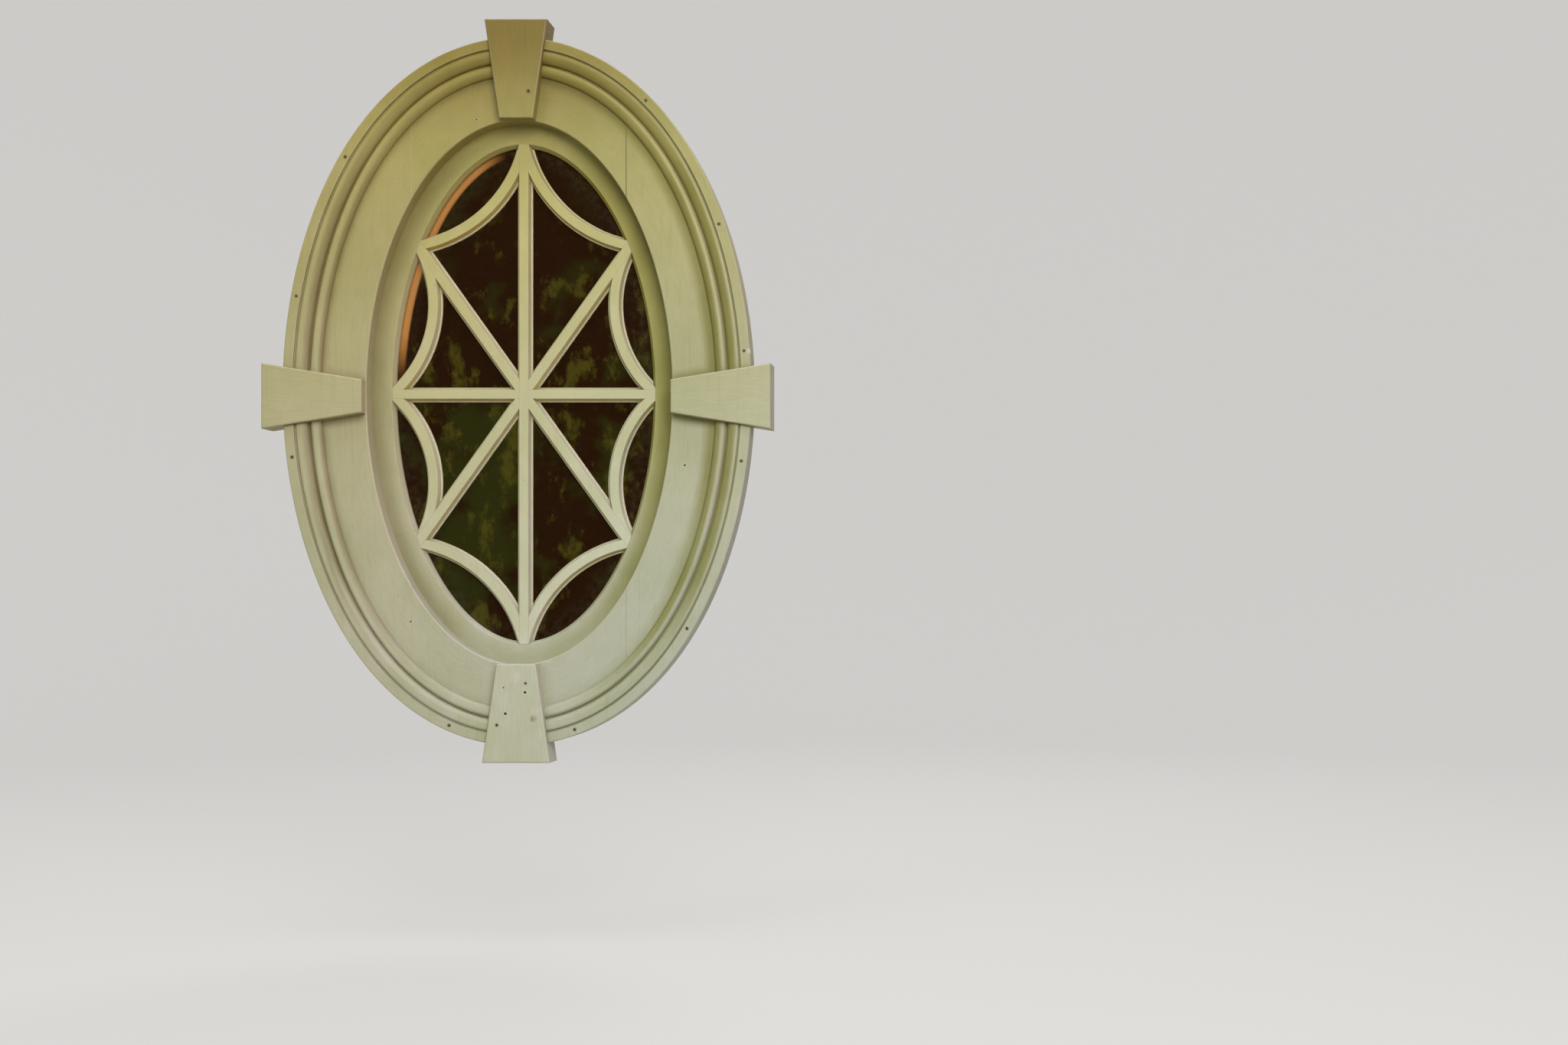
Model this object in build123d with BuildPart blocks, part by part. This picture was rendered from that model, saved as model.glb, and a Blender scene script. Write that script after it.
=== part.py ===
from build123d import *
import os
from math import acos, asin, atan2, cos, degrees, hypot, radians, sin

# Fixed oval window with a planted moulding, four keystones and a spider-web grille, in millimetres.
# X runs to the right, Z runs up and the outside faces -Y. The origin is the centre of the oval on the
# plane of the wall's outer face, where the back of the casing lies.

# Opening in the casing, a true ellipse that every ring of the window follows at a constant distance
opening_half_width = 255.5
opening_half_height = 455.0

# Casing: a flat oval band sawn from a panel of upright boards
casing_width = 134.5
casing_thickness = 28.0
glue_line_offset = 179.0
casing_eased_edge = 1.5

# Moulding planted on the outer edge of the casing, from the outside inwards
fillet_width = 16.3
fillet_height = 13.0
quirk_width = 3.5
quirk_depth = 4.0
ovolo_shoulder_width = 4.5
ovolo_shoulder_drop = 1.5
ovolo_slope_width = 15.0
ovolo_height = 12.5
ovolo_foot_height = 4.0
groove_width = 2.0
groove_floor_height = 2.5
bead_shoulder_width = 6.0
bead_slope_width = 13.5
bead_height = 9.0
bead_foot_height = 1.2
moulding_eased_edge = 1.2

# Keystones: tapered blocks planted on the casing and notched over its outer edge
keystone_thickness = 20.0
keystone_eased_edge = 1.5
keystone_joint = 0.2
side_keystone_start = 1.0
side_keystone_overhang = 32.5
side_keystone_drop = 8.0
side_keystone_inner = 55.0
side_keystone_outer = 109.0
end_keystone_start = -1.5
end_keystone_overhang = 28.0
top_keystone_inner = 56.0
top_keystone_outer = 104.0
bottom_keystone_inner = 65.0
bottom_keystone_outer = 112.0

# Jamb: the deep oval frame in the wall, housed in a groove in the back of the casing
jamb_depth = 116.0
jamb_thickness = 19.0
jamb_reveal = 13.5
jamb_housing_depth = 4.0
jamb_housing_clearance = 0.2
jamb_eased_edge = 1.5
jamb_joint_angle = 45.0
screw_radius = 2.25
screw_from_room_edge = 22.0

# Sash: measured from the edge of the opening, inwards to the glass and outwards into the jamb
sash_thickness = 35.0
sash_sight_width = 38.0
sash_lap = 12.0
sash_joint_angle = 32.0
sticking_width = 5.0
sticking_depth = 8.0
rebate_width = 10.0
glass_setback = 14.0
sash_eased_edge = 1.0

# Glass and what beds it
glass_thickness = 4.0
glass_edge_clearance = 3.0
tape_thickness = 1.0
tape_margin = 1.0
block_length = 30.0
block_from_centre = 60.0
fit_clearance = 0.3

# Natural wood on the room side
stop_depth = 28.0
stop_eased_edge = 3.0
bead_eased_edge = 1.5

# Grille bars planted on the glass
bar_face = 15.0
bar_slope = 3.0
bar_slope_depth = 10.0
bar_lip = 1.8
cope_clearance = 0.2
diagonal_angle = 54.5
end_arch_rise = 37.5
side_arch_rise = 46.0

# Sizes that follow from the ones above
casing_face = -casing_thickness
sight = -sash_sight_width
lip_arris = sight + sticking_width
rebate = sight + rebate_width
glass_back = glass_setback + glass_thickness

os.makedirs("parts", exist_ok=True)


def ellipse_point(angle, out=0.0):
    """Point at a parameter angle on the opening's ellipse, moved outwards square to the curve."""
    slope_x = opening_half_height * cos(radians(angle))
    slope_z = opening_half_width * sin(radians(angle))
    length = hypot(slope_x, slope_z)
    x = opening_half_width * cos(radians(angle)) + out * slope_x / length
    z = opening_half_height * sin(radians(angle)) + out * slope_z / length
    return x, z


def section_plane(angle):
    """Plane square to the ellipse: its X points away from the opening, its Y into the wall."""
    x, z = ellipse_point(angle)
    out_x, out_z = ellipse_point(angle, 1.0)
    outward = Vector(out_x - x, 0, out_z - z)
    along = Vector(-(out_z - z), 0, out_x - x)
    return Plane(origin=(x, 0, z), x_dir=outward, z_dir=along)


def ring_segment(draw_section, start, end):
    """A length of ring: a section swept along the opening's ellipse between two parameter angles."""
    with BuildPart() as segment:
        with BuildLine(Plane.XZ) as route:
            EllipticalCenterArc(
                (0, 0), opening_half_width, opening_half_height, start_angle=start, arc_size=end - start
            )
        sweep(sections=draw_section(section_plane(start)), path=route.wires()[0])
    return segment.part


def finish(piece, name):
    """Label a finished piece and write it."""
    piece.label = name
    export_step(piece, f"parts/{name}.step")


# Sections, each drawn with X away from the opening and Y into the wall


def casing_section(plane):
    groove_in = jamb_reveal - jamb_housing_clearance
    groove_out = jamb_reveal + jamb_thickness + jamb_housing_clearance
    with BuildSketch(plane) as section:
        with BuildLine():
            Polyline(
                (0, 0),
                (groove_in, 0),
                (groove_in, -jamb_housing_depth),
                (groove_out, -jamb_housing_depth),
                (groove_out, 0),
                (casing_width, 0),
                (casing_width, casing_face),
                (casing_eased_edge, casing_face),
                (0, casing_face + casing_eased_edge),
                close=True,
            )
        make_face()
    return section.sketch


def moulding_section(plane):
    outer = casing_width
    fillet_in = outer - fillet_width
    quirk_in = fillet_in - quirk_width
    ovolo_crest = quirk_in - ovolo_shoulder_width
    ovolo_in = ovolo_crest - ovolo_slope_width
    groove_in = ovolo_in - groove_width
    bead_crest = groove_in - bead_shoulder_width
    bead_in = bead_crest - bead_slope_width
    fillet_top = casing_face - fillet_height
    quirk_floor = fillet_top + quirk_depth
    ovolo_top = casing_face - ovolo_height
    ovolo_shoulder = ovolo_top + ovolo_shoulder_drop
    ovolo_foot = casing_face - ovolo_foot_height
    groove_floor = casing_face - groove_floor_height
    bead_top = casing_face - bead_height
    bead_foot = casing_face - bead_foot_height
    with BuildSketch(plane) as section:
        with BuildLine():
            Line((outer, casing_face), (outer, fillet_top + moulding_eased_edge))
            Line((outer, fillet_top + moulding_eased_edge), (outer - moulding_eased_edge, fillet_top))
            Line((outer - moulding_eased_edge, fillet_top), (fillet_in, fillet_top))
            Polyline((fillet_in, fillet_top), (fillet_in, quirk_floor), (quirk_in, quirk_floor))
            Line((quirk_in, quirk_floor), (quirk_in, ovolo_shoulder))
            EllipticalCenterArc(
                (ovolo_crest, ovolo_shoulder),
                ovolo_shoulder_width,
                ovolo_shoulder_drop,
                start_angle=270,
                arc_size=90,
            )
            EllipticalCenterArc(
                (ovolo_crest, ovolo_foot),
                ovolo_slope_width,
                ovolo_foot - ovolo_top,
                start_angle=180,
                arc_size=90,
            )
            Polyline((ovolo_in, ovolo_foot), (ovolo_in, groove_floor), (groove_in, groove_floor))
            EllipticalCenterArc(
                (bead_crest, groove_floor),
                bead_shoulder_width,
                groove_floor - bead_top,
                start_angle=270,
                arc_size=90,
            )
            EllipticalCenterArc(
                (bead_crest, bead_foot),
                bead_slope_width,
                bead_foot - bead_top,
                start_angle=180,
                arc_size=90,
            )
            Polyline((bead_in, bead_foot), (bead_in, casing_face), (outer, casing_face))
        make_face()
    return section.sketch


def notch_section(plane):
    """The casing with room to spare at its edges: what a keystone is notched for."""
    outer = casing_width + keystone_joint
    inner = -casing_thickness
    with BuildSketch(plane) as section:
        with BuildLine():
            Polyline((inner, 0), (outer, 0), (outer, casing_face), (inner, casing_face), close=True)
        make_face()
    return section.sketch


def jamb_section(plane):
    inner = jamb_reveal
    outer = inner + jamb_thickness
    with BuildSketch(plane) as section:
        with BuildLine():
            Polyline(
                (inner, -jamb_housing_depth),
                (outer, -jamb_housing_depth),
                (outer, jamb_depth),
                (inner + jamb_eased_edge, jamb_depth),
                (inner, jamb_depth - jamb_eased_edge),
                close=True,
            )
        make_face()
    return section.sketch


def sash_section(plane):
    with BuildSketch(plane) as section:
        with BuildLine():
            Polyline(
                (lip_arris, 0),
                (sash_lap - sash_eased_edge, 0),
                (sash_lap, sash_eased_edge),
                (sash_lap, sash_thickness),
                (rebate, sash_thickness),
                (rebate, glass_setback - tape_thickness),
                (sight, glass_setback - tape_thickness),
                (sight, sticking_depth),
                close=True,
            )
        make_face()
    return section.sketch


def tape_section(plane):
    with BuildSketch(plane) as section:
        with BuildLine():
            Polyline(
                (sight + tape_margin, glass_setback - tape_thickness),
                (rebate - tape_margin, glass_setback - tape_thickness),
                (rebate - tape_margin, glass_setback),
                (sight + tape_margin, glass_setback),
                close=True,
            )
        make_face()
    return section.sketch


def block_section(plane):
    outer = rebate - fit_clearance
    inner = rebate - glass_edge_clearance
    with BuildSketch(plane) as section:
        with BuildLine():
            Polyline(
                (inner, glass_setback + fit_clearance),
                (outer, glass_setback + fit_clearance),
                (outer, glass_back),
                (inner, glass_back),
                close=True,
            )
        make_face()
    return section.sketch


def bead_section(plane):
    outer = rebate - fit_clearance
    with BuildSketch(plane) as section:
        with BuildLine():
            Polyline(
                (sight, glass_back),
                (outer, glass_back),
                (outer, sash_thickness),
                (sight + bead_eased_edge, sash_thickness),
                (sight, sash_thickness - bead_eased_edge),
                close=True,
            )
        make_face()
    return section.sketch


def stop_section(plane):
    outer = jamb_reveal - fit_clearance
    back = sash_thickness + stop_depth
    with BuildSketch(plane) as section:
        with BuildLine():
            Line((sight, sash_thickness), (outer, sash_thickness))
            Line((outer, sash_thickness), (outer, back))
            Line((outer, back), (sight + stop_eased_edge, back))
            RadiusArc((sight + stop_eased_edge, back), (sight, back - stop_eased_edge), -stop_eased_edge)
            Line((sight, back - stop_eased_edge), (sight, sash_thickness))
        make_face()
    return section.sketch


def cope_section(plane):
    """The sash's lip with the joint's clearance, drawn large: the bars end against it."""
    lip_back = sight - cope_clearance
    with BuildSketch(plane) as section:
        with BuildLine():
            Polyline(
                (lip_arris - cope_clearance, 0),
                (lip_arris - cope_clearance, -casing_thickness),
                (sash_lap, -casing_thickness),
                (sash_lap, glass_setback),
                (lip_back, glass_setback),
                (lip_back, sticking_depth),
                close=True,
            )
        make_face()
    return section.sketch


def bar_section(plane):
    """Section of a grille bar: X across the bar, Y into the wall."""
    half_face = bar_face / 2
    half_slope = half_face + bar_slope
    half_base = half_slope + bar_lip
    with BuildSketch(plane) as section:
        with BuildLine():
            Polyline(
                (-half_face, 0),
                (half_face, 0),
                (half_slope, bar_slope_depth),
                (half_base, bar_slope_depth),
                (half_base, glass_setback),
                (-half_base, glass_setback),
                (-half_base, bar_slope_depth),
                (-half_slope, bar_slope_depth),
                close=True,
            )
        make_face()
    return section.sketch


# Casing: the two side boards are crescents, the two end boards fill between the upright glue lines
inner_joint = degrees(acos(glue_line_offset / opening_half_width))
outer_joint = degrees(acos(glue_line_offset / (opening_half_width + casing_width)))
side_reach = (90 + outer_joint) / 2

with BuildPart() as casing_right:
    add(ring_segment(casing_section, -side_reach, side_reach))
    split(bisect_by=Plane.YZ.offset(glue_line_offset), keep=Keep.TOP)

with BuildPart() as casing_top:
    add(ring_segment(casing_section, inner_joint / 2, 180 - inner_joint / 2))
    split(bisect_by=Plane.YZ.offset(glue_line_offset), keep=Keep.BOTTOM)
    split(bisect_by=Plane.YZ.offset(-glue_line_offset), keep=Keep.TOP)

finish(casing_right.part, "casing_board_right")
finish(casing_right.part.mirror(Plane.YZ), "casing_board_left")
finish(casing_top.part, "casing_board_top")
finish(casing_top.part.mirror(Plane.XY), "casing_board_bottom")


# Keystones: each runs from its narrow end at the opening to past the outer edge of the casing
def keystone_prism(angle, inner_width, outer_width, extra=0.0):
    """A keystone's tapered outline, taken from the plane of the wall out to its front face."""
    reach, start, overhang, drop = opening_half_height, end_keystone_start, end_keystone_overhang, 0
    if angle % 180 == 0:
        reach, start, overhang = opening_half_width, side_keystone_start, side_keystone_overhang
        drop = side_keystone_drop
    length = casing_width - start + overhang
    half_inner = inner_width / 2 + extra
    half_outer = outer_width / 2 + extra
    away = Vector(cos(radians(angle)), 0, sin(radians(angle)))
    narrow_end = away * (reach + start) - Vector(0, 0, drop)
    with BuildPart() as prism:
        with BuildSketch(Plane(origin=narrow_end, x_dir=away, z_dir=(0, -1, 0))):
            with BuildLine():
                Polyline(
                    (0, -half_inner),
                    (length, -half_outer),
                    (length, half_outer),
                    (0, half_inner),
                    close=True,
                )
            make_face()
        extrude(amount=casing_thickness + keystone_thickness)
    return prism.part


def keystone_block(angle, inner_width, outer_width):
    """The prism eased round its front face and notched over the casing."""
    with BuildPart() as block:
        add(keystone_prism(angle, inner_width, outer_width))
        front = block.faces().sort_by(Axis.Y)[0]
        chamfer(front.edges(), length=keystone_eased_edge)
        add(notch, mode=Mode.SUBTRACT)
    return block.part


notch = [ring_segment(notch_section, start, start + 180) for start in (-90, 90)]
finish(keystone_block(90, top_keystone_inner, top_keystone_outer), "keystone_top")
finish(keystone_block(-90, bottom_keystone_inner, bottom_keystone_outer), "keystone_bottom")
finish(keystone_block(0, side_keystone_inner, side_keystone_outer), "keystone_right")
finish(keystone_block(180, side_keystone_inner, side_keystone_outer), "keystone_left")

# Moulding: a quarter ring each, cut off at the sides of the keystones it runs between
side_gap = keystone_prism(0, side_keystone_inner, side_keystone_outer, keystone_joint)
top_gap = keystone_prism(90, top_keystone_inner, top_keystone_outer, keystone_joint)
bottom_gap = keystone_prism(-90, bottom_keystone_inner, bottom_keystone_outer, keystone_joint)

with BuildPart() as upper_moulding:
    add(ring_segment(moulding_section, 0, 90))
    add([side_gap, top_gap], mode=Mode.SUBTRACT)

with BuildPart() as lower_moulding:
    add(ring_segment(moulding_section, -90, 0))
    add([side_gap, bottom_gap], mode=Mode.SUBTRACT)

finish(upper_moulding.part, "moulding_upper_right")
finish(upper_moulding.part.mirror(Plane.YZ), "moulding_upper_left")
finish(lower_moulding.part, "moulding_lower_right")
finish(lower_moulding.part.mirror(Plane.YZ), "moulding_lower_left")

# Jamb: four curved segments, each with a screw hole into the wall at its middle
screw_depth = jamb_depth - screw_from_room_edge


def joint_angles(first):
    """Parameter angles of the joints between four segments, once round from the lower right one."""
    return [-first, first, 180 - first, 180 + first, 360 - first]


def jamb_segment(start, end):
    middle = (start + end) / 2
    x, z = ellipse_point(middle, jamb_reveal)
    away = Vector(cos(radians(middle)), 0, sin(radians(middle)))
    with BuildPart() as segment:
        add(ring_segment(jamb_section, start, end))
        with Locations(Plane(origin=(x, screw_depth, z), z_dir=away)):
            Hole(radius=screw_radius, depth=3 * jamb_thickness)
    return segment.part


jamb_names = ["jamb_right", "jamb_head", "jamb_left", "jamb_sill"]
jamb_joints = joint_angles(jamb_joint_angle)
for name, start, end in zip(jamb_names, jamb_joints, jamb_joints[1:]):
    finish(jamb_segment(start, end), name)

# Sash: head, sill and two stiles, joined on lines square to the curve
sash_names = ["sash_stile_right", "sash_head", "sash_stile_left", "sash_sill"]
sash_joints = joint_angles(sash_joint_angle)
for name, start, end in zip(sash_names, sash_joints, sash_joints[1:]):
    finish(ring_segment(sash_section, start, end), name)


# Glass: one oval pane, smaller than the rebate by its clearance all round
def oval_pane(edge):
    """An oval plate as thick as the glass, with its edge at a distance from the opening's ellipse."""
    with BuildPart() as pane:
        with BuildSketch(Plane.XZ.offset(-glass_back)):
            Ellipse(opening_half_width + edge, opening_half_height + edge)
        extrude(amount=glass_thickness)
    return pane.part


glass_edge = rebate - glass_edge_clearance
finish(oval_pane(glass_edge), "glass_pane")

# Bedding tape round the glass, in two half rings so that each is a plain strip
with BuildPart() as tape:
    add(ring_segment(tape_section, -90, 90))
    add(ring_segment(tape_section, 90, 270))
finish(tape.part, "bedding_tape")


# Setting blocks: two short rubber blocks that carry the glass
def angle_at(x):
    """Parameter angle on the lower half of the ellipse at a distance from the centre line."""
    return -90 + degrees(asin(x / opening_half_width))


with BuildPart() as blocks:
    block_start = angle_at(block_from_centre - block_length / 2)
    block_end = angle_at(block_from_centre + block_length / 2)
    add(ring_segment(block_section, block_start, block_end))
    mirror(about=Plane.YZ)
    add(oval_pane(glass_edge + fit_clearance), mode=Mode.SUBTRACT)
finish(blocks.part, "setting_blocks")

# Room side: the bead that holds the glass and the stop that holds the sash, both bent in two halves
for name, section in (("glazing_bead", bead_section), ("interior_stop", stop_section)):
    half_ring = ring_segment(section, -90, 90)
    finish(half_ring, f"{name}_right")
    finish(half_ring.mirror(Plane.YZ), f"{name}_left")

# Grille: the spokes end on the lip of the sash, the arches run between the ends of the spokes
tip_half_width = opening_half_width + lip_arris
tip_half_height = opening_half_height + lip_arris


def spoke_tip(angle):
    """Where a spoke at an angle above the horizontal reaches the lip of the sash."""
    reach = 1 / hypot(cos(radians(angle)) / tip_half_width, sin(radians(angle)) / tip_half_height)
    return Vector(reach * cos(radians(angle)), 0, reach * sin(radians(angle)))


def straight_bar(start, end):
    along = (end - start).normalized()
    across = along.cross(Vector(0, 1, 0)) * -1
    with BuildPart() as bar:
        extrude(bar_section(Plane(origin=start, x_dir=across, z_dir=along)), amount=(end - start).length)
    return bar.part


def arched_bar(start, end, rise):
    """A bar bent to a circular arc between two tips, bowed towards the centre of the window."""
    chord = end - start
    half_turn = 2 * atan2(2 * rise, chord.length)
    radius = chord.length / (2 * sin(half_turn))
    middle = (start + end) * 0.5
    outward = Vector(0, 1, 0).cross(chord.normalized())
    if outward.dot(middle) < 0:
        outward = outward * -1
    centre = middle + outward * (radius * cos(half_turn))
    radial = (start - centre).normalized()
    turn = 1 if radial.cross(chord).Y > 0 else -1
    along = Vector(0, turn, 0).cross(radial)
    with BuildPart() as bar:
        section = bar_section(Plane(origin=start, x_dir=radial, z_dir=along))
        revolve(section, axis=Axis(centre, (0, turn, 0)), revolution_arc=2 * degrees(half_turn))
    return bar.part


lip = [ring_segment(cope_section, start, start + 180) for start in (-90, 90)]
top_tip = spoke_tip(90)
right_tip = spoke_tip(0)
corner_tip = spoke_tip(diagonal_angle)
centre = Vector(0, 0, 0)

with BuildPart() as upright:
    add(straight_bar(top_tip * -1, top_tip))
    add(lip, mode=Mode.SUBTRACT)

with BuildPart() as level:
    add(straight_bar(centre, right_tip))
    add(lip + [upright.part], mode=Mode.SUBTRACT)

with BuildPart() as diagonal:
    add(straight_bar(centre, corner_tip))
    split(bisect_by=Plane.YZ, keep=Keep.TOP)
    split(bisect_by=Plane.XY, keep=Keep.TOP)
    add(lip + [upright.part, level.part], mode=Mode.SUBTRACT)

above_diagonal = Plane(origin=(0, 0, 0), z_dir=corner_tip.cross(Vector(0, 1, 0)))

with BuildPart() as end_arch:
    add(arched_bar(top_tip, corner_tip, end_arch_rise))
    split(bisect_by=Plane.YZ, keep=Keep.TOP)
    split(bisect_by=above_diagonal, keep=Keep.TOP)
    add(lip + [upright.part, diagonal.part], mode=Mode.SUBTRACT)

with BuildPart() as side_arch:
    add(arched_bar(corner_tip, right_tip, side_arch_rise))
    split(bisect_by=Plane.XY, keep=Keep.TOP)
    split(bisect_by=above_diagonal, keep=Keep.BOTTOM)
    add(lip + [level.part, diagonal.part], mode=Mode.SUBTRACT)

finish(upright.part, "bar_upright")
finish(level.part, "bar_level_right")
finish(level.part.mirror(Plane.YZ), "bar_level_left")

quarter_bars = {"bar_diagonal": diagonal.part, "arch_end": end_arch.part, "arch_side": side_arch.part}
for name, bar in quarter_bars.items():
    finish(bar, f"{name}_upper_right")
    finish(bar.mirror(Plane.YZ), f"{name}_upper_left")
    finish(bar.mirror(Plane.XY), f"{name}_lower_right")
    finish(bar.mirror(Plane.YZ).mirror(Plane.XY), f"{name}_lower_left")
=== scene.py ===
import bpy
import bmesh
from math import cos, hypot, pi, radians, sin
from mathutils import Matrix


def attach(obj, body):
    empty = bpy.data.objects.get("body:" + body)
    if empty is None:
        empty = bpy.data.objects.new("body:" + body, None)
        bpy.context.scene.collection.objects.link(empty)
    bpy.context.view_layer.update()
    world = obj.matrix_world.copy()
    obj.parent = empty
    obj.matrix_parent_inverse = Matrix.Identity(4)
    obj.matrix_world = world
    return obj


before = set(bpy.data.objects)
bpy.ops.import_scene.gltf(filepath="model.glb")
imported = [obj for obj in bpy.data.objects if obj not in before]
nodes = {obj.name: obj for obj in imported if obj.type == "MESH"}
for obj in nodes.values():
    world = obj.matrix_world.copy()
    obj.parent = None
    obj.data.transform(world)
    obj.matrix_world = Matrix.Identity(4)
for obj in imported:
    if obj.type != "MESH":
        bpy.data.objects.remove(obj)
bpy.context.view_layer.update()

# Casing: a flat oval band of four softwood boards, glued up on two upright lines and sawn to an oval.
# It is painted sage all over. The grain of the boards and the right glue line show through the paint,
# and painted shade darkens it where the moulding and the keystones stand on it.
half_width = 0.2555
half_height = 0.455
glue_line = 0.179
sage_low = (0.425, 0.427, 0.325, 1)
sage_high = (0.325, 0.278, 0.077, 1)
sage_worn_and_lit = (0.55, 0.52, 0.40, 1)
grey_primer = (0.50, 0.48, 0.42, 1)
olive_grime = (0.14, 0.115, 0.022, 1)
olive_shade = (0.47, 0.45, 0.10, 1)
grey_shade = (0.56, 0.51, 0.38, 1)
nail_rust = (0.10, 0.045, 0.018, 1)
hole_shade = (0.022, 0.017, 0.008, 1)
hole_softness = 0.0007
# Heights and sides between which the paint changes, from the middle of the window.
foot, head = -0.58, 0.62
shoulder, crown = 0.33, 0.46
left, right = -0.3, 0.3


def wire(tree, node, inputs):
    """Links each input that is given a socket, and sets each that is given a value."""
    for key, value in inputs.items():
        if isinstance(value, bpy.types.NodeSocket):
            tree.links.new(value, node.inputs[key])
        else:
            node.inputs[key].default_value = value
    return node


def add_node(tree, kind, inputs, **settings):
    made = tree.nodes.new("ShaderNode" + kind)
    for name, value in settings.items():
        setattr(made, name, value)
    return wire(tree, made, inputs)


def new_finish(name):
    """A material, its node tree, its shader and the place on the piece that its pattern follows."""
    material = bpy.data.materials.new(name)
    material.use_nodes = True
    tree = material.node_tree
    place = add_node(tree, "TexCoord", {}).outputs["Object"]
    return material, tree, tree.nodes["Principled BSDF"], place


def calc(tree, operation, first, second=0.0):
    return add_node(tree, "Math", {0: first, 1: second}, operation=operation).outputs[0]


def product(tree, *shares):
    """All the shares multiplied."""
    total = shares[0]
    for share in shares[1:]:
        total = calc(tree, "MULTIPLY", total, share)
    return total


def tint(tree, share, under, over, way="MIX"):
    """Colour of a coat over another, by the share of it that covers."""
    sockets = {0: share, 6: under, 7: over}
    return add_node(tree, "Mix", sockets, data_type="RGBA", blend_type=way).outputs[2]


def glaze(tree, colour, *coats):
    """A colour under thin clear coats, each given as the share of it that covers and its own colour."""
    for share, coat in coats:
        colour = tint(tree, share, colour, coat, "MULTIPLY")
    return colour


def ease(tree, value, low, high, start=0.0, end=1.0):
    """A soft step from start to end while a value goes from low to high."""
    sockets = {0: value, 1: low, 2: high, 3: start, 4: end}
    return add_node(tree, "MapRange", sockets, interpolation_type="SMOOTHSTEP").outputs[0]


def grain(tree, place, scale, detail=3.0, roughness=0.55):
    sockets = {"Vector": place, "Scale": scale, "Detail": detail, "Roughness": roughness}
    return add_node(tree, "TexNoise", sockets).outputs[0]


def stretched(tree, place, x, y, z):
    """A place scaled along each axis, which draws a pattern out along the smallest number."""
    return add_node(tree, "Mapping", {"Vector": place, "Scale": (x, y, z)}).outputs[0]


def relief(tree, height, strength, depth, more=None, **settings):
    """Normals of a rough skin, with its highest bumps a depth in metres over its lowest."""
    sockets = {"Strength": strength, "Distance": depth, "Height": height, **(more or {})}
    return add_node(tree, "Bump", sockets, **settings).outputs[0]


def round_the_oval(tree, place):
    """Place on the unrolled oval: metres along the curve, metres out from the opening, and depth."""
    axes = add_node(tree, "SeparateXYZ", {0: place}).outputs
    across = calc(tree, "DIVIDE", axes[0], half_width)
    up = calc(tree, "DIVIDE", axes[2], half_height)
    squares = calc(tree, "ADD", calc(tree, "POWER", across, 2), calc(tree, "POWER", up, 2))
    size = calc(tree, "SQRT", squares)
    slope_x = calc(tree, "POWER", calc(tree, "DIVIDE", across, half_width), 2)
    slope_z = calc(tree, "POWER", calc(tree, "DIVIDE", up, half_height), 2)
    slope = calc(tree, "SQRT", calc(tree, "ADD", slope_x, slope_z))
    excess = calc(tree, "MULTIPLY", calc(tree, "SUBTRACT", size, 1), size)
    out = calc(tree, "DIVIDE", excess, slope)
    mean_radius = (half_width + half_height) / 2
    along = calc(tree, "MULTIPLY", calc(tree, "ARCTAN2", across, up), mean_radius)
    return add_node(tree, "CombineXYZ", {0: along, 1: out, 2: axes[1]}).outputs[0]


def spot(tree, axes, x, z, radius, soft):
    """1 inside a round mark at a place on the front, 0 outside it."""
    side = calc(tree, "POWER", calc(tree, "SUBTRACT", axes[0], x), 2)
    rise = calc(tree, "POWER", calc(tree, "SUBTRACT", axes[2], z), 2)
    away = calc(tree, "SQRT", calc(tree, "ADD", side, rise))
    return ease(tree, away, radius, radius + soft, 1.0, 0.0)


def brush_strokes(tree, place, brushed):
    """A place drawn out the way the brush went."""
    if brushed == "round":
        return stretched(tree, round_the_oval(tree, place), 0.09, 1, 1)
    if brushed == "upright":
        return stretched(tree, place, 1, 1, 0.07)
    if brushed == "level":
        return stretched(tree, place, 0.07, 1, 1)
    return place


def lower_right(tree, normal):
    """How far a surface faces right or down, whichever is more."""
    return calc(tree, "MAXIMUM", normal[0], calc(tree, "MULTIPLY", normal[2], -1))


def corner_shade(tree, axes, turned, reach, shade, low_shade):
    """Painted shade in the corners, with less of it on the left, at both ends and on right and lower
    faces.
    """
    open_air = add_node(tree, "AmbientOcclusion", {"Distance": reach}, samples=5).outputs["AO"]
    return product(
        tree,
        ease(tree, open_air, 0.98, 0.55, 0.0, shade),
        ease(tree, lower_right(tree, turned), 0.3, 0.8, 1.0, 0.35),
        ease(tree, axes[0], left, right, 0.7, 1.0),
        ease(tree, axes[2], -0.5, -0.38, low_shade, 1.0),
        ease(tree, axes[2], shoulder, crown, 1.0, 0.3),
    )


def shade_band(tree, out, axes, start, full, ebb, end, lean, lowest, low, top_share):
    """Painted shade in a band round the oval, full between two distances out from the opening.

    The lean moves the band in on the right and out on the left. It fades from low to lowest at
    the foot, and to its top share at the head.
    """
    leant = calc(tree, "ADD", out, calc(tree, "MULTIPLY", axes[0], lean))
    return product(
        tree,
        ease(tree, leant, start, full),
        ease(tree, leant, end, ebb),
        ease(tree, axes[2], lowest, low, 0.2, 0.9),
        ease(tree, axes[2], shoulder, crown, 1.0, top_share),
    )


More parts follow.
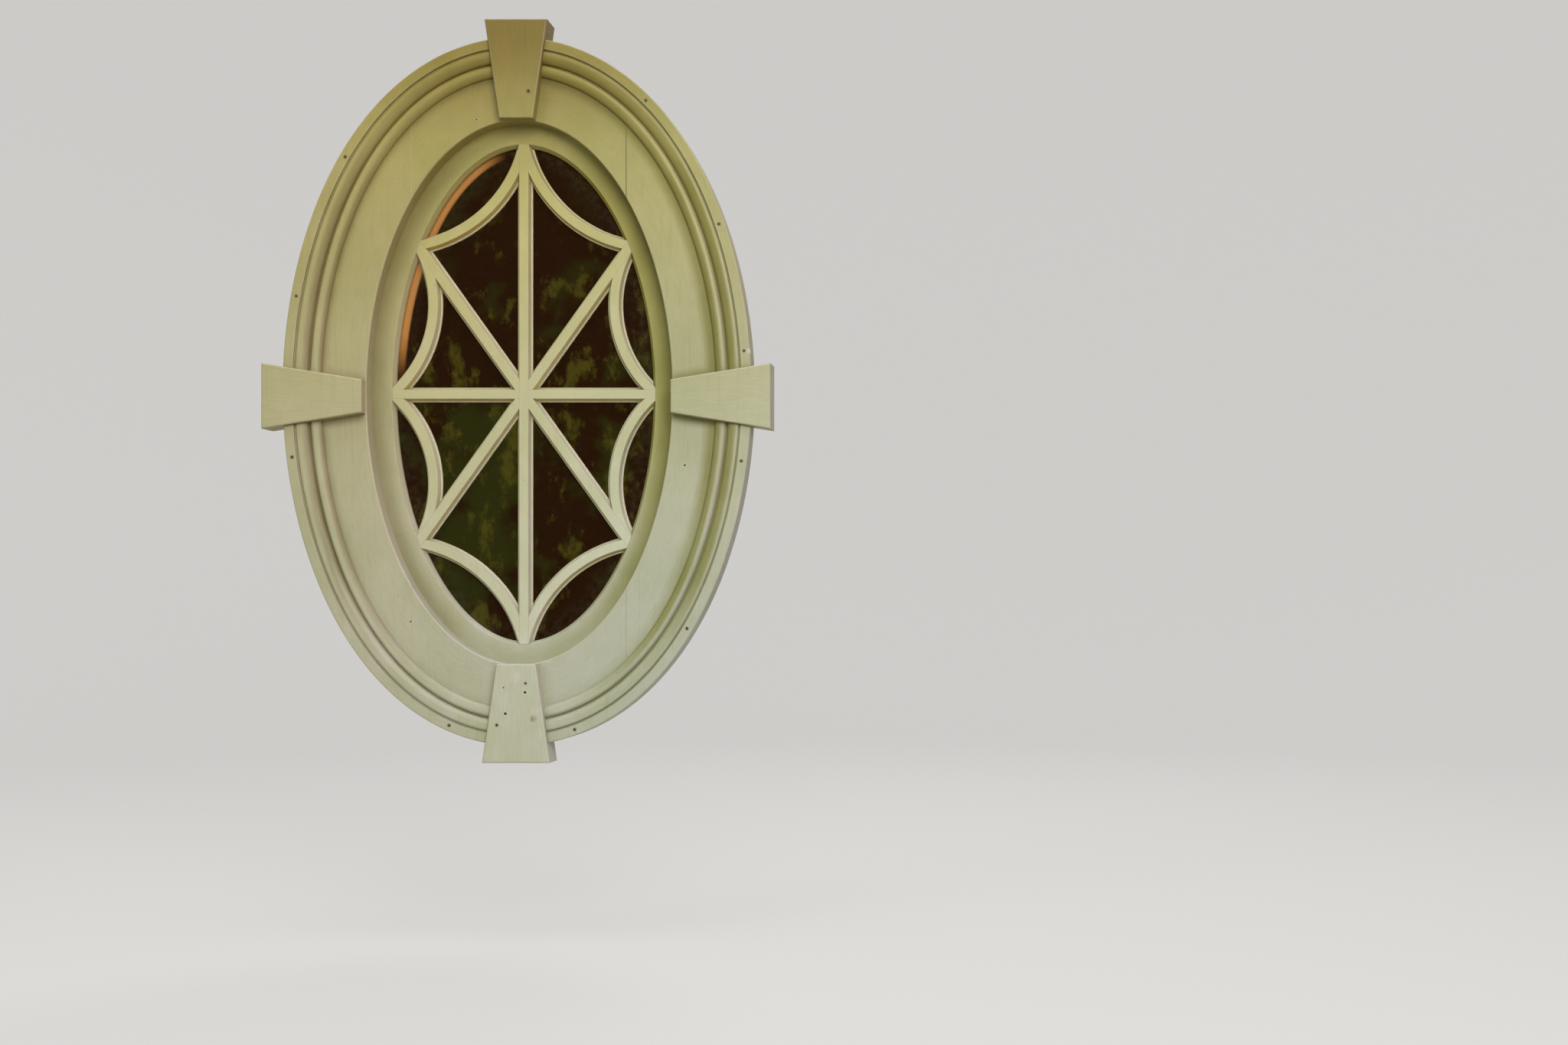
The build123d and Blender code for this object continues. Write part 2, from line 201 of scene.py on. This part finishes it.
def sage_paint(name, brushed="round", glued=False, dents=(), marks=(), bands=(), lip=None,
               olive=0.0, shade=0.9, low_shade=0.35, reach=0.02, tone=1.0,
               top=(0.55, 0.45, 0.20, 1), under=(1.00, 0.92, 0.76, 1)):
    """Several coats of brushed satin paint on softwood, weathered outdoors, with painted light and
    shade.

    A dent is x, z, radius and whether it is rusty, and its hole is darkened with painted shade. A mark
    is x, z, radius, soft edge, stain and the share that covers. A band is start, full, ebb, end, lean,
    lowest, low and top share of a band of painted shade. A lip is the two depths between which an edge
    gets a chalky painted highlight on its right and lower faces. Shade is how dark the painted shade in
    the corners gets, low_shade the share of it at the foot, and reach how wide it is in metres. Olive is
    the share of olive painted shade on the upper right. Tone is the paint's brightness, and top and
    under are the colours of the painted shade near the window's top and on undersides.
    """
    material, tree, coat, place = new_finish(name)
    axes = add_node(tree, "SeparateXYZ", {0: place}).outputs
    face = add_node(tree, "NewGeometry", {}).outputs
    turned = add_node(tree, "SeparateXYZ", {0: face["Normal"]}).outputs
    soft = add_node(tree, "Bevel", {"Radius": 0.0014}, samples=4).outputs[0]
    brush = grain(tree, brush_strokes(tree, place, brushed), 420, 4, 0.6)
    fibre = grain(tree, stretched(tree, place, 1, 1, 0.035), 260, 4, 0.65)
    cloud = grain(tree, place, 5.5, 4, 0.6)
    blotch = grain(tree, stretched(tree, place, 1, 1, 0.6), 22, 5, 0.65)

    # The coats, faded in clouds and blotches, with brush marks and the fibres of the wood.
    low_sage = (*(part * tone for part in sage_low[:3]), 1)
    high_sage = (*(part * tone for part in sage_high[:3]), 1)
    # Painted shade: the sage turns darker and yellower from foot to head, and near the head it takes the
    # top colour.
    colour = glaze(
        tree,
        tint(tree, ease(tree, axes[2], foot, head), low_sage, high_sage),
        (ease(tree, axes[2], 0.38, 0.60), top),
        (ease(tree, cloud, 0.36, 0.66), (0.90, 0.92, 0.84, 1)),
        (ease(tree, blotch, 0.46, 0.72), (1.06, 1.05, 1.12, 1)),
        (ease(tree, brush, 0.35, 0.7), (0.94, 0.93, 0.88, 1)),
        (ease(tree, fibre, 0.52, 0.74), (0.93, 0.92, 0.86, 1)),
    )

    # Edges paler, partly rubbed wear and partly a painted highlight, and painted shade in the corners
    # and in bands.
    bend = add_node(tree, "VectorMath", {0: soft, 1: face["Normal"]}, operation="DOT_PRODUCT")
    rubbed_and_lit_edge = ease(tree, bend.outputs["Value"], 0.995, 0.90)
    worn_and_lit = product(tree, rubbed_and_lit_edge, ease(tree, blotch, 0.3, 0.7, 0.25, 0.8))
    colour = tint(tree, worn_and_lit, colour, sage_worn_and_lit)
    # Painted shade in the corners and in bands round the oval, grey on the left and olive on the right.
    painted_shade = corner_shade(tree, axes, turned, reach, shade, low_shade)
    if bands:
        out = add_node(tree, "SeparateXYZ", {0: round_the_oval(tree, place)}).outputs[1]
    for band in bands:
        painted_shade = calc(tree, "MAXIMUM", painted_shade, shade_band(tree, out, axes, *band))
    painted_shade = product(tree, painted_shade, ease(tree, cloud, 0.25, 0.75, 0.8, 1.0))
    shade_colour = tint(tree, ease(tree, axes[0], -0.25, 0.15), grey_shade, olive_shade)
    colour = glaze(tree, colour, (painted_shade, shade_colour))

    # Painted light and shade by facing: faces that look right and up are painted lighter, faces that
    # look left darker and olive, undersides take the under colour, and the left side of the window is
    # painted warmer and the right side cooler.
    colour = glaze(
        tree,
        colour,
        (ease(tree, turned[0], 0.15, 0.9), (1.13, 1.04, 1.22, 1)),
        (ease(tree, turned[0], -0.15, -0.9), (0.84, 0.80, 0.58, 1)),
        (ease(tree, turned[2], -0.15, -0.9), under),
        (ease(tree, turned[2], 0.1, 0.7), (1.06, 1.07, 1.18, 1)),
        (ease(tree, axes[0], right, left), (0.95, 0.915, 0.84, 1)),
        (ease(tree, axes[0], left, right), (0.955, 0.99, 1.03, 1)),
    )
    # Olive painted shade on the upper right of the piece.
    if olive:
        upper, aside = ease(tree, axes[2], -0.35, 0.0), ease(tree, axes[0], 0.0, 0.18)
        colour = glaze(tree, colour, (product(tree, olive, aside, upper), (0.86, 0.85, 0.50, 1)))

    # A painted highlight on the right and lower faces of the lip, a glue line, small specks, nail holes
    # darkened with painted shade, and stains.
    if lip:
        leaning = lower_right(tree, add_node(tree, "SeparateXYZ", {0: soft}).outputs)
        edge = product(tree, ease(tree, axes[1], *lip), ease(tree, leaning, 0.12, 0.4))
        lip_highlight = product(tree, edge, ease(tree, blotch, 0.3, 0.6, 0.5, 0.95))
        colour = tint(tree, lip_highlight, colour, (0.86, 0.76, 0.60, 1))
    if glued:
        away = calc(tree, "ABSOLUTE", calc(tree, "SUBTRACT", axes[0], glue_line))
        line = ease(tree, away, 0.0004, 0.0015, 1.0, 0.0)
        line = product(tree, line, ease(tree, axes[2], -0.1, 0.3, 0.15, 0.85))
        colour = tint(tree, line, colour, olive_grime)
    cells = add_node(tree, "TexVoronoi", {"Vector": place, "Scale": 60.0}).outputs
    any_cell = add_node(tree, "SeparateColor", {0: cells["Color"]}).outputs[0]
    few = ease(tree, any_cell, 0.86, 0.88)
    speck = product(tree, ease(tree, cells["Distance"], 0.03, 0.075, 0.55, 0.0), few)
    colour = tint(tree, speck, colour, olive_grime)
    sunk = speck
    for x, z, radius, rusty in dents:
        hole = spot(tree, axes, x, z, radius, hole_softness)
        ring = spot(tree, axes, x, z, radius * 1.3, radius * 1.8)
        rim = nail_rust if rusty else sage_worn_and_lit
        colour = tint(tree, product(tree, ring, 0.35 + 0.3 * rusty), colour, rim)
        # The dark in the hole is painted shade.
        colour = tint(tree, hole, colour, hole_shade)
        sunk = calc(tree, "MAXIMUM", sunk, hole)
    for x, z, radius, soft_edge, stain, share in marks:
        mark = product(tree, spot(tree, axes, x, z, radius, soft_edge), ease(tree, fibre, 0.3, 0.6))
        colour = tint(tree, product(tree, mark, share), colour, stain)

    # Only primer on the back, which is not seen once the window is in.
    primed = tint(tree, blotch, grey_primer, sage_low)
    colour = tint(tree, ease(tree, turned[1], 0.97, 0.99), colour, primed)

    pores = grain(tree, place, 900, 2)
    film = calc(tree, "ADD", product(tree, brush, 0.5), product(tree, fibre, 0.35))
    film = calc(tree, "ADD", film, product(tree, pores, 0.15))
    skin = relief(tree, film, 0.5, 0.0004, {"Normal": soft})
    wire(tree, coat, {
        "Base Color": colour,
        "Roughness": ease(tree, blotch, 0.3, 0.75, 0.42, 0.6),
        "Specular IOR Level": 0.4,
        "Normal": relief(tree, sunk, 0.9, 0.0009, {"Normal": skin}, invert=True),
    })
    return material


def cover(material, *names):
    """Puts a finish on CAD nodes."""
    for name in names:
        nodes[name].material_slots[0].material = material


casing_dents = [(-0.071, 0.4557, 0.0011, 0), (-0.181, -0.383, 0.0011, 0), (0.277, -0.122, 0.0014, 0)]
casing_bands = [(0.054, 0.0745, 0.10, 0.11, 0.015, -0.45, -0.1, 0.9)]
casing_paint = sage_paint("casing_paint", glued=True, dents=casing_dents, bands=casing_bands)
cover(casing_paint, "casing_board_right", "casing_board_left")
cover(casing_paint, "casing_board_top", "casing_board_bottom")


# Moulding: four curved lengths of run softwood, with an outer fillet, an ovolo and a bead parted by a
# quirk and a groove. They are nailed on the casing's outer edge, and painted shade lies along their
# hollows.
def on_oval(angle, out):
    """A point at a parameter angle on the opening's ellipse, moved out square to the curve."""
    slope_x = half_height * cos(radians(angle))
    slope_z = half_width * sin(radians(angle))
    length = hypot(slope_x, slope_z)
    return (
        half_width * cos(radians(angle)) + out * slope_x / length,
        half_height * sin(radians(angle)) + out * slope_z / length,
    )


fillet_middle = 0.125
bare_wood = (0.27, 0.19, 0.09, 1)
fresh_scrape = (0.72, 0.70, 0.62, 1)
chips = [(*on_oval(109.7, 0.0846), 0.002, 0.004, bare_wood, 0.7)]
chips += [(*on_oval(109.3, 0.1162), 0.001, 0.004, bare_wood, 0.6)]
scrape = (*on_oval(7.3, 0.133), 0.002, 0.004, fresh_scrape, 0.7)
nail_angles = (134.0, 60.5, 31.5, 162.5, 7.4, 192.0, 347.3, 313.4, 256.0, 281.8)
fillet_nails = [on_oval(angle, fillet_middle) for angle in nail_angles]
rust_rings = [(x, z, 0.0022, 0.0022, nail_rust, 0.8) for x, z in fillet_nails]
# Painted shade in bands along the bead's inner foot and the ovolo's inner slope.
bead_foot = (0.060, 0.070, 0.0785, 0.0850, -0.008, -0.53, -0.38, 0.5)
ovolo_slope = (0.088, 0.094, 0.102, 0.111, -0.008, -0.50, -0.25, 0.5)
moulding_looks = {
    "marks": [*chips, *rust_rings, scrape],
    "bands": [bead_foot, ovolo_slope],
    "shade": 0.75,
    "low_shade": 0.9,
    # The colour of the painted shade near the head.
    "top": (0.72, 0.64, 0.40, 1),
}
moulding_paint = sage_paint("moulding_paint", **moulding_looks)
cover(moulding_paint, "moulding_upper_right", "moulding_upper_left")
cover(moulding_paint, "moulding_lower_right", "moulding_lower_left")

# Keystones: four tapered softwood blocks planted on the casing and notched over its edge. The side ones
# are brushed along, the end ones up and down, and the lowest has the most nail holes and a rust stain.
top_dents = [(0.0211, 0.4973, 0.0017, 1)]
cover(sage_paint("keystone_paint_top", "upright", dents=top_dents), "keystone_top")
stain_brown = (0.20, 0.12, 0.055, 1)
rubbed_pink = (0.62, 0.50, 0.42, 1)
bottom_looks = {
    "dents": [
        (0.0155, -0.5004, 0.0019, 0),
        (-0.017, -0.5357, 0.0019, 0),
        (-0.0313, -0.5547, 0.0014, 1),
        (-0.0204, -0.4925, 0.0009, 0),
        (0.0164, -0.4854, 0.0012, 1),
    ],
    "marks": [
        (0.0004, -0.4745, 0.004, 0.010, rubbed_pink, 0.35),
        (0.0400, -0.5680, 0.003, 0.009, rubbed_pink, 0.35),
        (0.0330, -0.5300, 0.002, 0.009, rubbed_pink, 0.35),
        (0.0295, -0.5445, 0.0018, 0.006, stain_brown, 0.8),
    ],
    "tone": 1.1,
}
cover(sage_paint("keystone_paint_bottom", "upright", **bottom_looks), "keystone_bottom")
cover(sage_paint("keystone_paint_side", "level", tone=1.05), "keystone_right", "keystone_left")


# Jamb: the deep oval box of four curved segments of clear softwood, set in a groove in the casing's
# back and drilled on its sides for four screws. It is varnished, more thinly than the stop.
def varnished_wood(name, pale, dark, coat_weight=0.35):
    """Clear softwood bent or sawn round the oval, with its grain along the curve, under varnish."""
    material, tree, wood, place = new_finish(name)
    unrolled = round_the_oval(tree, place)
    wander = grain(tree, stretched(tree, unrolled, 0.2, 1, 1), 9, 2)
    drift = add_node(tree, "CombineXYZ", {1: product(tree, wander, 0.035)}).outputs[0]
    bent = add_node(tree, "VectorMath", {0: unrolled, 1: drift}, operation="ADD").outputs[0]
    rings = grain(tree, stretched(tree, bent, 0.012, 1, 0.6), 230, 3, 0.6)
    pores = grain(tree, stretched(tree, bent, 0.03, 1, 1), 1300, 3, 0.7)
    cloud = grain(tree, place, 7, 3)
    colour = tint(tree, ease(tree, rings, 0.38, 0.64), pale, dark)
    colour = tint(tree, ease(tree, pores, 0.52, 0.75, 0.0, 0.35), colour, (0.16, 0.06, 0.02, 1))
    colour = tint(tree, ease(tree, cloud, 0.4, 0.75, 0.0, 0.3), colour, dark)
    soft = add_node(tree, "Bevel", {"Radius": 0.0012}, samples=6).outputs[0]
    wire(tree, wood, {
        "Base Color": colour,
        "Roughness": ease(tree, rings, 0.3, 0.7, 0.34, 0.5),
        "Coat Weight": coat_weight,
        "Coat Roughness": 0.22,
        "Normal": relief(tree, pores, 0.4, 0.0003, {"Normal": soft}),
    })
    return material


jamb_wood = varnished_wood("jamb_wood", (0.56, 0.34, 0.15, 1), (0.40, 0.20, 0.075, 1), 0.15)
cover(jamb_wood, "jamb_right", "jamb_head", "jamb_left", "jamb_sill")

# Sash: the oval frame that carries the glass, of two stiles, a head and a sill joined square to the
# curve. It is painted like the casing, and its lip ends in a small sticking that meets the bars.
# The band and the olive share are painted shade: darker in from the casing's edge, and olive on the
# upper right.
sash_bands = [(-0.040, -0.004, 0.02, 0.03, 0.03, -0.5, -0.28, 0.15)]
sash_looks = {"bands": sash_bands, "olive": 1.0, "shade": 0.6, "reach": 0.035, "tone": 1.03}
sash_paint = sage_paint("sash_paint", **sash_looks)
cover(sash_paint, "sash_stile_right", "sash_head", "sash_stile_left", "sash_sill")


# Bedding tape and setting blocks: a strip of pale foam between the lip and the glass, and two blocks of
# black rubber that carry the pane.
def rubber(name, colour, darker, rough):
    material, tree, skin, place = new_finish(name)
    smear = grain(tree, place, 60, 3)
    wire(tree, skin, {
        "Base Color": tint(tree, ease(tree, smear, 0.35, 0.7), colour, darker),
        "Roughness": ease(tree, smear, 0.3, 0.7, rough, rough + 0.12),
        "Normal": relief(tree, grain(tree, place, 1500, 3), 0.5, 0.0002),
    })
    return material


cover(rubber("tape_foam", (0.36, 0.34, 0.24, 1), (0.24, 0.22, 0.15, 1), 0.75), "bedding_tape")
cover(rubber("block_rubber", (0.02, 0.02, 0.02, 1), (0.035, 0.034, 0.03, 1), 0.6), "setting_blocks")

# Glass: one oval pane, slightly wavy, with dust near its edge. It is painted a nearly opaque dark brown
# as painted shade of the unlit inside, with green patches, olive streaks and a warm mirror tint as
# painted reflections. The painted dark ends short of the lip at the upper left, where the pane is half
# clear and painted orange as the wood behind.
inside_shade_brown = (0.010, 0.003, 0.0008, 1)
green_reflection = (0.014, 0.018, 0.0025, 1)
olive_reflection = (0.060, 0.055, 0.006, 1)
pale_dust = (0.20, 0.19, 0.13, 1)
orange_margin = (0.60, 0.25, 0.05, 1)
glass, tree, pane, place = new_finish("glass_painted_dark")
sides = add_node(tree, "SeparateXYZ", {0: place}).outputs
edge = add_node(tree, "SeparateXYZ", {0: round_the_oval(tree, place)}).outputs[1]
drift = grain(tree, place, 6, 4, 0.6)
dust = grain(tree, place, 90, 5, 0.7)
streaks = grain(tree, stretched(tree, place, 1.6, 1, 1), 14, 5, 0.7)
green_reflection_share = product(tree, ease(tree, drift, 0.49, 0.62), ease(tree, sides[2], 0.35, 0.0, 0.35, 1.0))
olive_reflection_share = ease(tree, streaks, 0.52, 0.66, 0.0, 0.7)
olive_reflection_share = product(tree, olive_reflection_share, ease(tree, sides[2], 0.40, 0.1, 0.3, 1.0))
film = product(tree, ease(tree, edge, -0.085, -0.036, 0.05, 0.4), ease(tree, dust, 0.35, 0.7))
upper_left = product(tree, ease(tree, sides[0], -0.03, -0.09), ease(tree, sides[2], 0.02, 0.12))
margin = product(tree, ease(tree, edge, -0.052, -0.046), upper_left)
colour = tint(tree, green_reflection_share, inside_shade_brown, green_reflection)
colour = tint(tree, olive_reflection_share, colour, olive_reflection)
colour = tint(tree, product(tree, film, 0.15), colour, pale_dust)
colour = tint(tree, margin, colour, orange_margin)
wire(tree, pane, {
    "Base Color": colour,
    "Alpha": calc(tree, "SUBTRACT", 0.995, product(tree, margin, 0.5)),
    "Roughness": ease(tree, film, 0.0, 0.4, 0.02, 0.10),
    "Specular IOR Level": 0.15,
    "Specular Tint": (1.0, 0.50, 0.18, 1),
    "Normal": relief(tree, grain(tree, place, 9, 1), 0.25, 0.0015),
})
cover(glass, "glass_pane")

# Glazing bead and interior stop: natural varnished softwood on the inside. The bead holds the pane in
# the sash, the deeper stop holds the sash in the jamb, and their edge shows orange through the glass.
stop_wood = varnished_wood("stop_wood", (0.72, 0.40, 0.15, 1), (0.48, 0.22, 0.07, 1))
cover(stop_wood, "glazing_bead_right", "glazing_bead_left")
cover(stop_wood, "interior_stop_right", "interior_stop_left")


# Brads: small flat steel heads set round the back of the stop, about a hand apart, with their tops just
# proud of the varnish.
def nail_heads(name, places, depth, radius, proud, facing, material):
    """Round heads with a rolled edge and a dished middle, facing out (-1) or in (1)."""
    heads = bmesh.new()
    outline = [(0, 0.6), (0.4, 0.6), (0.7, 1), (0.9, 0.8), (1, 0.3), (1, -0.3), (0, -0.3)]
    for x, z in places:
        half = [(x + radius * out, depth + facing * proud * rise, z) for out, rise in outline]
        half = [heads.verts.new(point) for point in half]
        edges = [heads.edges.new(pair) for pair in zip(half, half[1:])]
        turn = {"cent": (x, 0, z), "axis": (0, 1, 0), "angle": 2 * pi, "steps": 20}
        bmesh.ops.spin(heads, geom=half + edges, use_merge=True, **turn)
    bmesh.ops.remove_doubles(heads, verts=heads.verts, dist=0.00002)
    bmesh.ops.recalc_face_normals(heads, faces=heads.faces)
    mesh = bpy.data.meshes.new(name)
    heads.to_mesh(mesh)
    heads.free()
    mesh.materials.append(material)
    piece = bpy.data.objects.new(name, mesh)
    bpy.context.scene.collection.objects.link(piece)
    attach(piece, "root")


def steel(name, colour, rust):
    material, tree, skin, place = new_finish(name)
    spots = grain(tree, place, 700, 4, 0.7)
    wire(tree, skin, {
        "Base Color": tint(tree, ease(tree, spots, 0.4, 0.6), colour, rust),
        "Metallic": 0.3,
        "Roughness": ease(tree, spots, 0.3, 0.7, 0.4, 0.8),
        "Normal": relief(tree, spots, 0.5, 0.0002),
    })
    return material


stop_back = 0.063
stop_middle = -0.012
proud_of_paint = 0.0003
brad_steel = steel("brad_steel", (0.30, 0.28, 0.25, 1), (0.16, 0.12, 0.09, 1))
stop_brads = [on_oval(angle, stop_middle) for angle in range(15, 360, 30)]
nail_heads("stop_brads", stop_brads, stop_back, 0.0019, proud_of_paint, 1, brad_steel)

# Grille: one upright bar, two level half bars, four diagonals and eight arched bars with a flat face and
# sloping sides. They are coped to each other, planted on the glass and painted with the sash.
# The lip gets a painted highlight, and under is a warm painted shade on the undersides.
bar_looks = {
    "lip": (0.0092, 0.0098),
    "shade": 0.55,
    "reach": 0.012,
    "tone": 1.24,
    "under": (1.20, 1.00, 0.60, 1),
}
bars = [name for name in nodes if name.startswith(("bar_", "arch_"))]
cover(sage_paint("bar_paint", "all ways", **bar_looks), *bars)

# Moulding nails: cut steel heads in the outer fillet, rusted brown where the paint has come off them.
# They stand at uneven steps round the oval, with their tops just proud of the paint.
fillet_front = -0.041
rusty_steel = steel("rusty_steel", (0.035, 0.022, 0.014, 1), (0.08, 0.03, 0.014, 1))
nail_heads("moulding_nails", fillet_nails, fillet_front, 0.0021, proud_of_paint, -1, rusty_steel)

# Studio: a round pale floor that curves up into a pale backdrop on all sides, and looks almost evenly
# lit to the camera. Four soft boxes light the window, and the camera stands below and to the right.
floor_height = -0.92
floor_radius = 4.2
cove_radius = 1.4
backdrop_top = 4.4
sweep_curve = [(0.0, 0.0), (3.2, 0.0), (floor_radius, 0.0)]
for angle in range(9, 91, 9):
    reach = floor_radius + cove_radius * sin(radians(angle))
    sweep_curve.append((reach, cove_radius - cove_radius * cos(radians(angle))))
sweep_curve.append((floor_radius + cove_radius, backdrop_top))
studio = bmesh.new()
profile = [studio.verts.new((reach, 0, floor_height + rise)) for reach, rise in sweep_curve]
edges = [studio.edges.new(pair) for pair in zip(profile, profile[1:])]
turn = {"cent": (0, 0, 0), "axis": (0, 0, 1), "angle": 2 * pi, "steps": 96}
bmesh.ops.spin(studio, geom=profile + edges, use_merge=True, **turn)
bmesh.ops.remove_doubles(studio, verts=studio.verts, dist=0.0001)
bmesh.ops.recalc_face_normals(studio, faces=studio.faces)
bmesh.ops.reverse_faces(studio, faces=studio.faces)
mesh = bpy.data.meshes.new("studio_floor")
studio.to_mesh(mesh)
studio.free()
for face in mesh.polygons:
    face.use_smooth = True
sweep = bpy.data.objects.new("studio_floor", mesh)
bpy.context.scene.collection.objects.link(sweep)

pale, tree, matt = new_finish("studio_pale")[:3]
wire(tree, matt, {"Base Color": (0.50, 0.49, 0.475, 1), "Roughness": 0.9})
ray = add_node(tree, "LightPath", {}).outputs
seen = calc(tree, "MAXIMUM", ray["Is Camera Ray"], ray["Is Glossy Ray"])
seen = calc(tree, "MAXIMUM", seen, ray["Is Transmission Ray"])
glow = add_node(tree, "Emission", {"Color": (0.80, 0.79, 0.77, 1)}).outputs[0]
even = add_node(tree, "MixShader", {0: product(tree, seen, 0.65), 1: matt.outputs[0], 2: glow})
wire(tree, tree.nodes["Material Output"], {"Surface": even.outputs[0]})
mesh.materials.append(pale)


def soft_lamp(name, place, size, power):
    """A square soft box that points at the middle of the window."""
    data = bpy.data.lights.new(name, "AREA")
    data.shape = "SQUARE"
    data.size = size
    data.energy = power
    lamp = bpy.data.objects.new(name, data)
    lamp.location = place
    lamp.rotation_euler = (-lamp.location).to_track_quat("-Z", "Y").to_euler()
    bpy.context.scene.collection.objects.link(lamp)


soft_lamp("key", (1.5, -3.7, 1.7), 2.2, 150)
soft_lamp("fill", (-2.6, -2.3, 1.4), 0.9, 20)
soft_lamp("top", (0.2, -0.8, 3.0), 1.6, 44)
soft_lamp("room", (0.6, 2.2, 2.8), 1.4, 55)

world = bpy.data.worlds.new("studio_air")
world.use_nodes = True
air = world.node_tree.nodes["Background"]
wire(world.node_tree, air, {"Color": (1.0, 0.99, 0.97, 1), "Strength": 0.25})
bpy.context.scene.world = world
bpy.context.scene.view_settings.view_transform = "Standard"

lens = bpy.data.cameras.new("camera")
lens.sensor_width = 36
lens.lens = 40.4
lens.shift_x = -0.15
lens.shift_y = 0.05
camera = bpy.data.objects.new("camera", lens)
camera.location = (0.8357, -2.968, -0.3485)
camera.rotation_euler = (radians(90), 0, 0)
bpy.context.scene.collection.objects.link(camera)
bpy.context.scene.camera = camera

bpy.context.view_layer.update()
